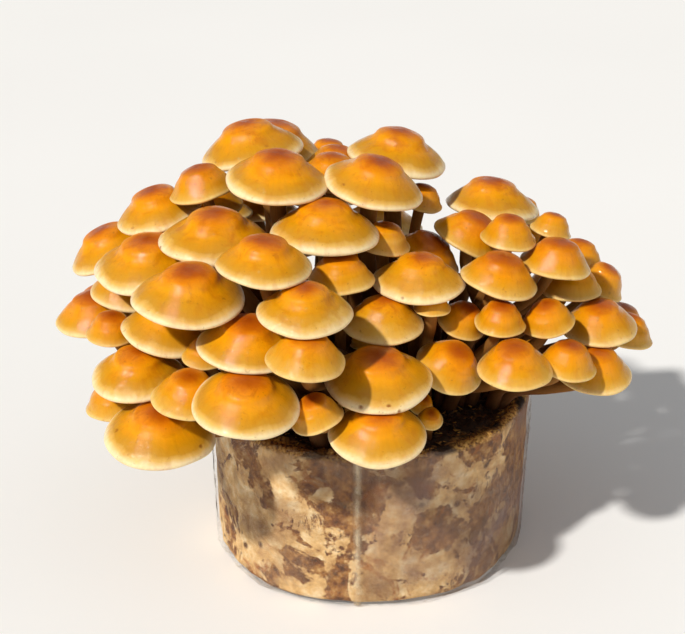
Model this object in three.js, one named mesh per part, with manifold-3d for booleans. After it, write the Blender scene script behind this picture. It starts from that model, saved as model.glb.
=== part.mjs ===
// A cluster of nameko mushrooms growing from a round sawdust block in a clear bag.
// Millimetres, +Z up, standing on z = 0 with the fullest side of the cluster facing -Y.

import * as THREE from "three";
import { mergeVertices } from "three/addons/utils/BufferGeometryUtils.js";
import Module from "manifold-3d";

const wasm = await Module();
wasm.setup();

// Air left between two solids that touch.
const GAP = 0.3;

// Corners this close are one corner: along a lathe's seam, and along a join's edge.
const SEAM = 1e-4;
const SLIVER = 0.02;

// The growing block: packed sawdust bound by mycelium, a little narrower at the bottom.
const BLOCK_TOP = 62;
const BLOCK_TOP_RADIUS = 58.5;
const BLOCK_BASE_RADIUS = 56.5;
const BLOCK_EDGE = 2.5;
const BLOCK_SEGMENTS = 48;

// The block's uneven outline: waves round it, as [times round, depth, turn in radians].
const BLOCK_WAVES = [
  [2, 0.9, 0.6],
  [5, 0.6, 0],
  [9, 0.3, 2],
];

// The bag: a thin clear cup drawn tight round the block, gathered in upright folds.
const BAG_WALL = 0.6;
const BAG_RIM = 63;
const BAG_RIM_WAVE = 1.2;
const BAG_RIM_WAVE_COUNT = 4;
const FOLD_DEPTH = 1.1;
const FOLD_COUNT = 13;

// Cap profile, as [share of the cap radius, height above the rim as a share of it].
// A young cap is a plain dome; a ripe one has spread and keeps a broad hump in the middle.
const YOUNG_DIAMETER = 15;
const RIPE_DIAMETER = 36;
const YOUNG_CAP = { apex: 0.86, hump: [0.38, 0.73], brim: [0.76, 0.4], rim: [1, -0.04] };
const RIPE_CAP = { apex: 0.54, hump: [0.33, 0.44], brim: [0.69, 0.21], rim: [1, -0.06] };
const CAP_LIP = [0.91, -0.13];
const THROAT_HEIGHT = 0.1;
const CAP_SEGMENTS = 10;

// Stems: slim, slightly swollen where they leave the block.
const STEM_SHARE = 0.17;
const STEM_RADIUS_RANGE = [2, 3.2];
const STEM_FOOT_SWELL = 1.25;
const STEM_RINGS = [0, 0.26, 0.52, 0.78, 1];
const STEM_RISE = 0.45;
const STEM_HANG = 0.32;

// Two lobes of growth. Each is a dome: centre, half-widths and height over its level.
const DOME_LEVEL = 68;
const DOME_POWER = 1.7;
const MAIN = { x: -28, y: 2, halfX: 82, halfY: 84, height: 70, footX: -9, footY: 0, footReach: 47 };
const SIDE = { x: 50, y: 6, halfX: 46, halfY: 54, height: 56, footX: 32, footY: 4, footReach: 26 };

// Every mushroom of the front and crown: [clump, lobe, azimuth, climb, cap diameter,
// rise off the dome, lean to the right, lean to the front]. Azimuth and climb are in
// degrees round and up the lobe. Mushrooms of one clump share a foot and are one piece.
const MUSHROOMS = [
  ["crown_01", MAIN, 99, 52, 37, 16, 8, -6],
  ["crown_02", MAIN, 123, 70, 37, 12, -9, 0],
  ["crown_03", MAIN, 77, 48, 19, 12, 5, -8],
  ["crown_03", MAIN, 70, 55, 25, 9, 8, 0],
  ["crown_04", MAIN, 46, 51, 37, 17, 10, -3],
  ["crown_05", MAIN, 43, 75, 25, 3, 5, 0],
  ["crown_06", MAIN, 226, 86, 36, 0, 4, 3],
  ["crown_07", MAIN, 356, 67, 35, 5, 13, 4],
  ["crown_08", MAIN, 178, 65, 24, 6, -13, -4],
  ["crown_13", MAIN, 165, 62, 27, 0, -8, 0],
  ["crown_09", MAIN, 182, 51, 32, 6, -15, 0],
  ["crown_10", MAIN, 217, 61, 38, 0, 2, 3],
  ["crown_11", MAIN, 295, 68, 38, 0, 2, 1],
  ["crown_12", MAIN, 328, 57, 18, 0, 8, 4],
  ["crown_12", MAIN, 358, 55, 16, 10, 13, 0],
  ["left_01", MAIN, 182, 35, 32, 6, -22, 0],
  ["left_02", MAIN, 193, 43, 39, 0, -3, 2],
  ["left_03", MAIN, 199, 35, 30, 0, 3, 3],
  ["left_04", MAIN, 190, 20, 29, 0, -5, 4],
  ["left_04", MAIN, 206, 21, 18, 0, 4, 5],
  ["left_05", MAIN, 225, 18, 33, 0, 2, 5],
  ["left_06", MAIN, 218, 5, 21, 0, -8, 8],
  ["left_07", MAIN, 236, 8, 38, 0, 5, 8],
  ["left_08", MAIN, 227, 30, 33, 0, 7, 5],
  ["front_01", MAIN, 232, 39, 38, 0, 2, 5],
  ["front_02", MAIN, 260, 53, 32, 0, 3, 2],
  ["front_03", MAIN, 295, 52, 23, 0, 0, 3],
  ["front_04", MAIN, 274, 40, 32, 0, 1, 2],
  ["front_05", MAIN, 302, 36, 28, 0, 0, 3],
  ["front_06", MAIN, 326, 41, 32, 0, 2, 2],
  ["front_07", MAIN, 355, 44, 26, 0, 22, 5],
  ["front_08", MAIN, 256, 32, 34, 0, 1, 3],
  ["front_09", MAIN, 244, 26, 15, 0, 7, 6],
  ["front_09", MAIN, 243, 16, 25, 0, 5, 8],
  ["front_10", MAIN, 259, 19, 35, 0, 3, 14],
  ["front_11", MAIN, 275, 27, 26, 0, 4, 5],
  ["front_11", MAIN, 277, 17, 18, 0, -14, 8],
  ["front_12", MAIN, 296, 23, 37, 0, 1, 7],
  ["front_13", MAIN, 292, 10, 33, 0, 2, 10],
  ["front_14", MAIN, 325, 34, 13, 0, 0, 2],
  ["front_14", MAIN, 320, 19, 24, 0, 20, 22],
  ["side_01", SIDE, 188, 72, 26, 0, 22, 5],
  ["side_02", SIDE, 110, 73, 35, 4, 6, -5],
  ["side_03", SIDE, 75, 72, 18, 1, 14, -7],
  ["side_04", SIDE, 260, 79, 20, 0, 5, 2],
  ["side_04", SIDE, 347, 74, 15, 0, 14, -4],
  ["side_05", SIDE, 320, 67, 25, 0, 8, 0],
  ["side_06", SIDE, 259, 60, 27, 0, 12, 3],
  ["side_07", SIDE, 312, 54, 23, 0, 3, 3],
  ["side_07", SIDE, 352, 45, 19, 0, 28, 4],
  ["side_08", SIDE, 261, 41, 18, 0, 4, 6],
  ["side_08", SIDE, 287, 41, 19, 0, -10, 6],
  ["side_09", SIDE, 321, 32, 28, 0, -2, 4],
  ["side_10", SIDE, 310, 18, 27, 0, 2, 5],
  ["side_10", SIDE, 293, 23, 21, 0, 7, 4],
  ["side_11", SIDE, 269, 24, 26, 0, 0, 9],
  ["side_11", SIDE, 240, 39, 18, 0, 20, 10],
];

// The far side is filled by rows of clumps: climb, first and last azimuth, mushrooms
// in the row and the range of their cap diameters.
const BACK_ROWS = [
  { lobe: MAIN, climb: 8, from: 42, to: 166, count: 6, small: 26, large: 36 },
  { lobe: MAIN, climb: 27, from: 48, to: 160, count: 5, small: 28, large: 38 },
  { lobe: MAIN, climb: 45, from: 62, to: 140, count: 3, small: 28, large: 36 },
  { lobe: SIDE, climb: 14, from: -20, to: 100, count: 5, small: 20, large: 28 },
  { lobe: SIDE, climb: 42, from: 20, to: 115, count: 3, small: 20, large: 28 },
];
const BACK_LEAN = 12;
const CLUMP_SIZE = 2;
const UNEVENNESS = 4;

// Easing the crowd apart: how far caps keep from each other, how strongly each one keeps
// the place it was given as seen by an eye in front, and how freely it slides in and out.
const CROWD_GAP = 0.7;
const ROUNDS = 900;
const CLOSING_ROUNDS = 300;
const QUIET_ROUNDS = 80;
const FIRST_SPREAD = 1.7;
const KEEP_PLACE = 0.12;
const KEEP_DEPTH = 0.004;
const SLIDE_IN_DEPTH = 2;
const LARGEST_STEP = 2;
const NEAR = 6;
const UNTANGLING_ROUNDS = 60;
const NUDGE = 0.25;
const STEM_SAMPLES = 24;
const MATE_SPACING = 4.6;
const MATE_SHARED_HEIGHT = 0.32;
const MARGIN_INSIDE_RIM = 2;
const LOWEST_STEM = 70;
const LOWEST_THROAT = 75;

// Colours and how rough each surface is.
const CAP_COLOUR_YOUNG = 0xb85c10;
const CAP_COLOUR_RIPE = 0xe2a038;
const BLOCK_COLOUR = 0x9a6b3c;
const BAG_COLOUR = 0xd9cfc4;
const CAP_ROUGHNESS = 0.3;
const BLOCK_ROUGHNESS = 0.95;
const BAG_ROUGHNESS = 0.2;

const UP = new THREE.Vector3(0, 0, 1);

// The middle of the block's top, from which the whole crowd spreads, and the eye in front.
const HEART = new THREE.Vector3(0, 0, BLOCK_TOP);
const FRONT_EYE = new THREE.Vector3(-10, -628, 381);

// A repeatable number from -1 to 1 for a given pair of whole numbers.
function vary(first, second) {
  const wave = Math.sin(first * 12.9898 + second * 78.233) * 43758.5453;
  return 2 * (wave - Math.floor(wave)) - 1;
}

// Merges corners closer than a distance, such as a lathe's seam and poles, and drops the
// triangles that closed up there.
function weld(geometry, distance) {
  geometry.deleteAttribute("normal");
  geometry.deleteAttribute("uv");
  const merged = mergeVertices(geometry, distance);
  const kept = [];
  const index = merged.index.array;
  for (let i = 0; i < index.length; i += 3) {
    const [a, b, c] = [index[i], index[i + 1], index[i + 2]];
    if (a !== b && b !== c && c !== a) {
      kept.push(a, b, c);
    }
  }
  merged.setIndex(kept);
  return merged;
}

// A lathe round the Z axis from [radius, height] pairs listed from the bottom up.
function turned(profile, segments) {
  const points = profile.map(([radius, height]) => new THREE.Vector2(radius, height));
  const geometry = new THREE.LatheGeometry(points, segments);
  geometry.rotateX(Math.PI / 2);
  return weld(geometry, SEAM);
}

// Moves every vertex of a geometry by a function of its position.
function reshape(geometry, move) {
  const position = geometry.attributes.position;
  const point = new THREE.Vector3();
  for (let i = 0; i < position.count; i += 1) {
    point.fromBufferAttribute(position, i);
    move(point);
    position.setXYZ(i, point.x, point.y, point.z);
  }
  return geometry;
}

// The uneven outline of the block at an angle, in millimetres off its plain radius.
function lumps(angle) {
  return BLOCK_WAVES.reduce(
    (sum, [times, depth, turn]) => sum + depth * Math.sin(times * angle + turn),
    0,
  );
}

// How far the bag stands off the block at an angle: flat stretches between soft folds.
function folds(angle) {
  const pleats = Math.max(0, Math.sin(FOLD_COUNT * angle + 1.5 * Math.sin(2 * angle)));
  return FOLD_DEPTH * pleats ** 2;
}

function blockRadiusAt(height) {
  return THREE.MathUtils.mapLinear(height, 0, BLOCK_TOP, BLOCK_BASE_RADIUS, BLOCK_TOP_RADIUS);
}

function makeBlock() {
  const floor = BAG_WALL + GAP;
  const middle = BLOCK_TOP / 2;
  const shoulder = BLOCK_TOP - BLOCK_EDGE;
  const profile = [
    [0, floor],
    [blockRadiusAt(floor) - BLOCK_EDGE, floor],
    [blockRadiusAt(floor + BLOCK_EDGE), floor + BLOCK_EDGE],
    [blockRadiusAt(middle), middle],
    [blockRadiusAt(shoulder), shoulder],
    [BLOCK_TOP_RADIUS - BLOCK_EDGE, BLOCK_TOP],
    [0, BLOCK_TOP],
  ];
  return reshape(turned(profile, BLOCK_SEGMENTS), (point) => {
    const angle = Math.atan2(point.y, point.x);
    const radius = Math.hypot(point.x, point.y);
    if (radius > 0) {
      const grown = radius + lumps(angle);
      point.set(grown * Math.cos(angle), grown * Math.sin(angle), point.z);
    }
  });
}

function makeBag() {
  const inside = GAP;
  const outside = GAP + BAG_WALL;
  const middle = BLOCK_TOP / 2;
  const floor = BAG_WALL;
  const profile = [
    [0, 0],
    [blockRadiusAt(0) - BLOCK_EDGE + outside, 0],
    [blockRadiusAt(BLOCK_EDGE) + outside, BLOCK_EDGE],
    [blockRadiusAt(middle) + outside, middle],
    [blockRadiusAt(BAG_RIM) + outside, BAG_RIM],
    [blockRadiusAt(BAG_RIM) + inside, BAG_RIM],
    [blockRadiusAt(middle) + inside, middle],
    [blockRadiusAt(BLOCK_EDGE + floor) + inside, BLOCK_EDGE + floor],
    [blockRadiusAt(floor) - BLOCK_EDGE + inside, floor],
    [0, floor],
  ];
  return reshape(turned(profile, BLOCK_SEGMENTS), (point) => {
    const angle = Math.atan2(point.y, point.x);
    const radius = Math.hypot(point.x, point.y);
    if (radius > 0) {
      const upTheWall = THREE.MathUtils.smoothstep(point.z, 0, middle);
      const grown = radius + lumps(angle) + folds(angle) * upTheWall;
      const atRim = point.z >= BAG_RIM;
      const wave = atRim ? BAG_RIM_WAVE * Math.sin(BAG_RIM_WAVE_COUNT * angle + 1) : 0;
      point.set(grown * Math.cos(angle), grown * Math.sin(angle), point.z + wave);
    }
  });
}

// The cap's profile for its age, blended between the young and the ripe one.
function capProfile(diameter) {
  const ripeness = THREE.MathUtils.smoothstep(diameter, YOUNG_DIAMETER, RIPE_DIAMETER);
  const blend = (young, ripe) => THREE.MathUtils.lerp(young, ripe, ripeness);
  const blendPoint = (young, ripe) => [blend(young[0], ripe[0]), blend(young[1], ripe[1])];
  return {
    apex: blend(YOUNG_CAP.apex, RIPE_CAP.apex),
    hump: blendPoint(YOUNG_CAP.hump, RIPE_CAP.hump),
    brim: blendPoint(YOUNG_CAP.brim, RIPE_CAP.brim),
    rim: blendPoint(YOUNG_CAP.rim, RIPE_CAP.rim),
  };
}

// A point on a lobe's dome, pushed off it by rise.
function domePoint(lobe, azimuth, climb, rise) {
  const around = THREE.MathUtils.degToRad(azimuth);
  const up = THREE.MathUtils.degToRad(climb);
  const direction = new THREE.Vector3(
    Math.cos(up) * Math.cos(around),
    Math.cos(up) * Math.sin(around),
    Math.sin(up),
  );
  const sum =
    Math.abs(direction.x / lobe.halfX) ** DOME_POWER +
    Math.abs(direction.y / lobe.halfY) ** DOME_POWER +
    Math.abs(direction.z / lobe.height) ** DOME_POWER;
  const reach = sum ** (-1 / DOME_POWER) + rise;
  return direction.multiplyScalar(reach).add(new THREE.Vector3(lobe.x, lobe.y, DOME_LEVEL));
}

// Where a mushroom of a lobe first stands on the block: low ones near the edge.
function footPoint(lobe, azimuth, climb) {
  const around = THREE.MathUtils.degToRad(azimuth);
  const reach = lobe.footReach * Math.cos(THREE.MathUtils.degToRad(climb));
  return new THREE.Vector3(
    lobe.footX + reach * Math.cos(around),
    lobe.footY + reach * Math.sin(around),
    BLOCK_TOP + GAP,
  );
}

function makeMushroom([clump, lobe, azimuth, climb, diameter, rise, right, front]) {
  const radius = diameter / 2;
  const axis = new THREE.Vector3(
    Math.tan(THREE.MathUtils.degToRad(right)),
    -Math.tan(THREE.MathUtils.degToRad(front)),
    1,
  ).normalize();
  const stemRadius = THREE.MathUtils.clamp(radius * STEM_SHARE, ...STEM_RADIUS_RANGE);
  const home = domePoint(lobe, azimuth, climb, rise);
  return {
    clump: `nameko_${clump}`,
    diameter,
    radius,
    axis,
    stemRadius,
    home,
    centre: home.clone(),
    foot: footPoint(lobe, azimuth, climb),
    profile: capProfile(diameter),
  };
}

// The far side's mushrooms, in the same form as the list above.
function backMushrooms() {
  const rows = [];
  let number = 0;
  for (const row of BACK_ROWS) {
    for (let i = 0; i < row.count; i += 1) {
      const share = (i + 0.5) / row.count;
      const azimuth = row.from + share * (row.to - row.from) + UNEVENNESS * vary(number, 1);
      const climb = row.climb + UNEVENNESS * vary(number, 2);
      const diameter = THREE.MathUtils.lerp(row.small, row.large, 0.5 + 0.5 * vary(number, 3));
      const around = THREE.MathUtils.degToRad(azimuth);
      const right = BACK_LEAN * Math.cos(around);
      const front = -BACK_LEAN * Math.sin(around);
      const clump = `back_${String(1 + Math.floor(number / CLUMP_SIZE)).padStart(2, "0")}`;
      rows.push([clump, row.lobe, azimuth, climb, diameter, 0, right, front]);
      number += 1;
    }
  }
  return rows;
}

// The curve down the middle of a stem, from its foot to the underside of the cap.
function stemCurve(mushroom) {
  const throat = mushroom.centre.clone();
  throat.addScaledVector(mushroom.axis, THROAT_HEIGHT * mushroom.radius);
  const rise = STEM_RISE * (throat.z - mushroom.foot.z);
  const hang = Math.min(STEM_HANG * throat.distanceTo(mushroom.foot), throat.z - LOWEST_STEM);
  return new THREE.CubicBezierCurve3(
    mushroom.foot.clone(),
    mushroom.foot.clone().addScaledVector(UP, rise),
    throat.clone().addScaledVector(mushroom.axis, -hang),
    throat,
  );
}

// Evenly spaced points down the middle of the stem's straight pieces.
function stemSamples(mushroom) {
  const curve = stemCurve(mushroom);
  const joints = STEM_RINGS.map((share) => curve.getPoint(share));
  const pieces = joints.length - 1;
  const points = [];
  for (let i = 0; i < STEM_SAMPLES; i += 1) {
    const along = (pieces * (i + 0.5)) / STEM_SAMPLES;
    const piece = Math.floor(along);
    points.push(joints[piece].clone().lerp(joints[piece + 1], along - piece));
  }
  return points;
}

// Rings of points on the cap's outer surface, for testing it against its neighbours.
function capSamples(mushroom) {
  const side = new THREE.Vector3(1, 0, 0).projectOnPlane(mushroom.axis).normalize();
  const front = new THREE.Vector3().crossVectors(mushroom.axis, side);
  const { apex, hump, brim, rim } = mushroom.profile;
  const points = [mushroom.centre.clone().addScaledVector(mushroom.axis, apex * mushroom.radius)];
  for (const [share, height] of [hump, brim, rim, CAP_LIP]) {
    const count = share > 0.6 ? 2 * CAP_SEGMENTS : CAP_SEGMENTS;
    for (let i = 0; i < count; i += 1) {
      const angle = (2 * Math.PI * i) / count;
      const point = mushroom.centre.clone();
      point.addScaledVector(side, share * mushroom.radius * Math.cos(angle));
      point.addScaledVector(front, share * mushroom.radius * Math.sin(angle));
      point.addScaledVector(mushroom.axis, height * mushroom.radius);
      points.push(point);
    }
  }
  return points;
}

// The height of a cap's top above its rim at a share of its radius.
function topHeight(profile, share) {
  const { apex, hump, brim, rim } = profile;
  const corners = [[0, apex], hump, brim, rim];
  for (let i = 1; i < corners.length; i += 1) {
    const [from, high] = corners[i - 1];
    const [to, low] = corners[i];
    if (share <= to) {
      return THREE.MathUtils.mapLinear(share, from, to, high, low);
    }
  }
  return rim[1];
}

// The height of a cap's underside at a share of its radius.
function undersideHeight(share) {
  const height = THREE.MathUtils.mapLinear(share, STEM_SHARE, CAP_LIP[0], THROAT_HEIGHT, CAP_LIP[1]);
  return Math.max(height, CAP_LIP[1]);
}

// How deep a point with some air round it is inside a cap, and the way out of it.
function insideCap(mushroom, point, air) {
  if (mushroom.centre.distanceTo(point) > mushroom.radius + air) {
    return null;
  }
  const offset = point.clone().sub(mushroom.centre);
  const height = offset.dot(mushroom.axis);
  offset.addScaledVector(mushroom.axis, -height);
  const distance = offset.length();
  const share = distance / mushroom.radius;
  const sideways = mushroom.radius + air - distance;
  const upward = topHeight(mushroom.profile, share) * mushroom.radius + air - height;
  const downward = height + air - undersideHeight(share) * mushroom.radius;
  if (sideways <= 0 || upward <= 0 || downward <= 0) {
    return null;
  }
  return { sideways, upward, downward, outward: offset.normalize() };
}

// Moves two caps apart, the short way out: over, under or beside one another.
function pushCaps(mushroom, other) {
  const most = { sideways: 0, upward: 0, downward: 0 };
  for (const point of other.samples) {
    const hit = insideCap(mushroom, point, CROWD_GAP);
    if (hit !== null) {
      most.sideways = Math.max(most.sideways, hit.sideways);
      most.upward = Math.max(most.upward, hit.upward);
      most.downward = Math.max(most.downward, hit.downward);
    }
  }
  const depth = Math.min(most.sideways, most.upward, most.downward);
  const way = mushroom.axis.clone();
  if (depth === most.downward) {
    way.negate();
  } else if (depth === most.sideways) {
    way.copy(other.centre).sub(mushroom.centre).projectOnPlane(mushroom.axis).normalize();
  }
  way.multiplyScalar(depth / 2);
  other.capPush.add(way);
  mushroom.capPush.sub(way);
}

// Moves a stem and a cap apart sideways: a stem passes a cap beside it, never through it.
function pushStemFromCap(mushroom, other) {
  let deepest = null;
  other.stem.forEach((point, i) => {
    const hit = insideCap(mushroom, point, other.stemRadius + CROWD_GAP);
    if (hit !== null && (deepest === null || hit.sideways > deepest.sideways)) {
      deepest = { ...hit, share: (i + 0.5) / STEM_SAMPLES };
    }
  });
  if (deepest !== null) {
    const way = deepest.outward.multiplyScalar(Math.min(deepest.sideways, 2 * LARGEST_STEP) / 2);
    way.z = 0;
    pushStem(other, way, deepest.share);
    mushroom.capPush.sub(way);
  }
}

// Moves a stem at a share of its length by shifting the cap and the foot.
function pushStem(mushroom, way, share) {
  mushroom.capPush.addScaledVector(way, share);
  mushroom.footPush.addScaledVector(way, 1 - share);
}

// Moves two stems apart, except low down where the mushrooms of a clump are joined.
function pushStems(mushroom, other) {
  const mates = mushroom.clump === other.clump;
  let closest = mushroom.stemRadius + other.stemRadius + CROWD_GAP;
  let found = null;
  mushroom.stem.forEach((point, i) => {
    other.stem.forEach((neighbour, j) => {
      if (Math.abs(point.z - neighbour.z) > closest || Math.abs(point.x - neighbour.x) > closest) {
        return;
      }
      const shares = [(i + 0.5) / STEM_SAMPLES, (j + 0.5) / STEM_SAMPLES];
      const joined = mates && Math.min(...shares) < MATE_SHARED_HEIGHT;
      const apart = point.distanceTo(neighbour);
      if (!joined && apart < closest) {
        found = { way: neighbour.clone().sub(point), shares };
        closest = apart;
      }
    });
  });
  if (found !== null) {
    const reach = mushroom.stemRadius + other.stemRadius + CROWD_GAP;
    found.way.setLength((reach - closest) / 2);
    pushStem(other, found.way, found.shares[1]);
    pushStem(mushroom, found.way.negate(), found.shares[0]);
  }
}

// The way in which a cap slides straight back from the eye in front.
function lineOfSight(mushroom) {
  return mushroom.home.clone().sub(FRONT_EYE).normalize();
}

// Moves a cap and a foot by the pushes that they got, the cap more freely in depth.
function giveWay(mushroom) {
  const inward = lineOfSight(mushroom);
  const depth = mushroom.capPush.dot(inward);
  mushroom.capPush.addScaledVector(inward, (SLIDE_IN_DEPTH - 1) * depth);
  mushroom.centre.add(mushroom.capPush.clampLength(0, LARGEST_STEP));
  mushroom.foot.add(mushroom.footPush.clampLength(0, LARGEST_STEP));
}

// Draws a cap back to the place it was given, loosely along the line of sight.
function goHome(mushroom, spread) {
  const inward = lineOfSight(mushroom);
  const offset = mushroom.home.clone().sub(HEART).multiplyScalar(spread).add(HEART);
  offset.sub(mushroom.centre);
  const depth = offset.dot(inward);
  offset.addScaledVector(inward, -depth);
  mushroom.centre.addScaledVector(offset, KEEP_PLACE);
  mushroom.centre.addScaledVector(inward, depth * KEEP_DEPTH);
}

// Keeps a foot on the block's flat top and a cap above it.
function stayOnBlock(mushroom) {
  const reach = BLOCK_TOP_RADIUS - BLOCK_EDGE - STEM_FOOT_SWELL * mushroom.stemRadius - MARGIN_INSIDE_RIM;
  const flat = new THREE.Vector2(mushroom.foot.x, mushroom.foot.y).clampLength(0, reach);
  mushroom.foot.set(flat.x, flat.y, BLOCK_TOP + GAP);
  mushroom.centre.z = Math.max(mushroom.centre.z, LOWEST_THROAT);
}

// Holds the feet of a clump's mushrooms at the distance at which they are grown together.
function joinFeet(mushroom, mate) {
  const middle = mushroom.foot.clone().add(mate.foot).multiplyScalar(0.5);
  const half = mate.foot.clone().sub(mushroom.foot).setLength(MATE_SPACING / 2);
  mushroom.foot.copy(middle).sub(half);
  mate.foot.copy(middle).add(half);
}

// Keeps every mushroom on the block and the feet of every clump together.
function keepRooted(mushrooms) {
  mushrooms.forEach((mushroom, i) => {
    const mate = mushrooms.find((other, j) => j > i && other.clump === mushroom.clump);
    if (mate !== undefined) {
      joinFeet(mushroom, mate);
    }
    stayOnBlock(mushroom);
  });
}

// Draws the crowd in from a wide, loose start and eases it apart until nothing touches.
function settle(mushrooms) {
  for (const mushroom of mushrooms) {
    mushroom.centre.sub(HEART).multiplyScalar(FIRST_SPREAD).add(HEART);
  }
  for (let round = 0; round < ROUNDS; round += 1) {
    const closed = THREE.MathUtils.smoothstep(round, 0, CLOSING_ROUNDS);
    const spread = THREE.MathUtils.lerp(FIRST_SPREAD, 1, closed);
    for (const mushroom of mushrooms) {
      mushroom.capPush = new THREE.Vector3();
      mushroom.footPush = new THREE.Vector3();
      mushroom.samples = capSamples(mushroom);
      mushroom.stem = stemSamples(mushroom);
    }
    mushrooms.forEach((mushroom, i) => {
      mushrooms.forEach((other, j) => {
        if (i === j) {
          return;
        }
        if (mushroom.centre.distanceTo(other.centre) < mushroom.radius + other.radius + NEAR) {
          pushCaps(mushroom, other);
        }
        pushStemFromCap(mushroom, other);
        if (j > i) {
          pushStems(mushroom, other);
        }
      });
    });
    for (const mushroom of mushrooms) {
      giveWay(mushroom);
      if (round < ROUNDS - QUIET_ROUNDS) {
        goHome(mushroom, spread);
      }
    }
    keepRooted(mushrooms);
  }
}

// One mushroom: a lathe of stem and cap, bent along the stem's curve. The lathe's rows are
// turned one millimetre apart, so that a corner's height tells which row it belongs to.
function mushroomGeometry(mushroom) {
  const { radius, stemRadius, profile, axis, centre } = mushroom;
  const curve = stemCurve(mushroom);
  const stemRow = (share) => ({
    reach: share > 0 ? stemRadius : STEM_FOOT_SWELL * stemRadius,
    origin: curve.getPoint(share),
    along: curve.getTangent(share),
  });
  const capRow = ([share, height]) => ({
    reach: share * radius,
    origin: centre.clone().addScaledVector(axis, height * radius),
    along: axis,
  });
  const rows = [
    { ...stemRow(0), reach: 0 },
    ...STEM_RINGS.map(stemRow),
    capRow(CAP_LIP),
    capRow(profile.rim),
    capRow(profile.brim),
    capRow(profile.hump),
    capRow([0, profile.apex]),
  ];
  const outline = rows.map(({ reach }, row) => new THREE.Vector2(reach, row));
  const geometry = new THREE.LatheGeometry(outline, CAP_SEGMENTS);
  geometry.rotateX(Math.PI / 2);
  reshape(geometry, (point) => {
    const { origin, along } = rows[Math.round(point.z)];
    const side = new THREE.Vector3(1, 0, 0).projectOnPlane(along).normalize();
    const front = new THREE.Vector3().crossVectors(along, side);
    const { x, y } = point;
    point.copy(origin).addScaledVector(side, x).addScaledVector(front, y);
  });
  return weld(geometry, SEAM);
}

function toSolid(geometry) {
  const mesh = new wasm.Mesh({
    numProp: 3,
    vertProperties: new Float32Array(geometry.attributes.position.array),
    triVerts: new Uint32Array(geometry.index.array),
  });
  return new wasm.Manifold(mesh);
}

// Nudges mushrooms until their true solids, a gap larger, are clear of one another, but for
// those of one clump, and clear of the bag's rim.
function untangle(mushrooms) {
  const bag = toSolid(makeBag());
  for (let round = 0; round < UNTANGLING_ROUNDS; round += 1) {
    const grown = mushrooms.map((mushroom) => ({
      ...mushroom,
      radius: mushroom.radius + GAP,
      stemRadius: mushroom.stemRadius + GAP,
    }));
    const solids = grown.map((mushroom) => toSolid(mushroomGeometry(mushroom)));
    let touching = 0;
    mushrooms.forEach((mushroom, i) => {
      const cut = solids[i].intersect(bag);
      if (cut.volume() > 0) {
        touching += 1;
        mushroom.centre.z += NUDGE;
        mushroom.foot.addScaledVector(mushroom.foot.clone().sub(HEART).normalize(), -NUDGE);
      }
      cut.delete();
      for (let j = i + 1; j < mushrooms.length; j += 1) {
        const other = mushrooms[j];
        const shared = solids[i].intersect(solids[j]);
        if (other.clump !== mushroom.clump && shared.volume() > 0) {
          touching += 1;
          const { min, max } = shared.boundingBox();
          const place = new THREE.Vector3(...min).add(new THREE.Vector3(...max)).multiplyScalar(0.5);
          nudgeApart(mushroom, other, place);
        }
        shared.delete();
      }
    });
    solids.forEach((solid) => solid.delete());
    keepRooted(mushrooms);
    if (touching === 0) {
      return;
    }
  }
}

// Moves two mushrooms a little apart, each by its part that is nearest to where they touch.
function nudgeApart(mushroom, other, place) {
  const ends = [mushroom, other].map((member) => {
    const share = Math.min(1, (place.z - member.foot.z) / (member.centre.z - member.foot.z));
    const byCap = member.centre.distanceTo(place) < member.radius + NEAR;
    return byCap
      ? { share: 1, middle: member.centre }
      : { share, middle: stemCurve(member).getPoint(share) };
  });
  const way = ends[1].middle.clone().sub(ends[0].middle);
  if (ends[0].share < 1 || ends[1].share < 1) {
    way.z = 0;
  }
  way.setLength(NUDGE);
  [mushroom, other].forEach((member, i) => {
    const move = way.clone().multiplyScalar(i === 0 ? -1 : 1);
    member.centre.addScaledVector(move, ends[i].share);
    member.foot.addScaledVector(move, 1 - ends[i].share);
  });
}

function toGeometry(solid) {
  const mesh = solid.getMesh();
  const geometry = new THREE.BufferGeometry();
  geometry.setAttribute("position", new THREE.BufferAttribute(mesh.vertProperties, mesh.numProp));
  geometry.setIndex(new THREE.BufferAttribute(mesh.triVerts, 1));
  return weld(geometry, SLIVER);
}

function finished(name, geometry, colour, roughness) {
  geometry.computeVertexNormals();
  const material = new THREE.MeshStandardMaterial({ color: colour, roughness, metalness: 0 });
  const mesh = new THREE.Mesh(geometry, material);
  mesh.name = name;
  return mesh;
}

const mushrooms = [...MUSHROOMS, ...backMushrooms()].map(makeMushroom);
settle(mushrooms);
untangle(mushrooms);

const cluster = new THREE.Group();
for (const clump of new Set(mushrooms.map((mushroom) => mushroom.clump))) {
  const members = mushrooms.filter((mushroom) => mushroom.clump === clump);
  let geometry = mushroomGeometry(members[0]);
  if (members.length > 1) {
    const solids = members.map((member) => toSolid(mushroomGeometry(member)));
    geometry = toGeometry(solids.reduce((whole, piece) => whole.add(piece)));
  }
  const ripeness = THREE.MathUtils.smoothstep(members[0].diameter, YOUNG_DIAMETER, RIPE_DIAMETER);
  const colour = new THREE.Color(CAP_COLOUR_YOUNG).lerp(new THREE.Color(CAP_COLOUR_RIPE), ripeness);
  cluster.add(finished(clump, geometry, colour, CAP_ROUGHNESS));
}
cluster.add(finished("substrate_block", makeBlock(), BLOCK_COLOUR, BLOCK_ROUGHNESS));
cluster.add(finished("film_bag", makeBag(), BAG_COLOUR, BAG_ROUGHNESS));

export default cluster;
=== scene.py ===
"""The looks of a nameko mushroom cluster on its growing block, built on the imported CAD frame.

Each mushroom is rebuilt as a fine surface round its own CAD solid: hump, brim, rolled rim,
gills and stem. The block gets its crumbly top and mycelium, and the bag its folds.
"""

import math

import bpy
import numpy as np
from mathutils import Matrix, Vector


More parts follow.
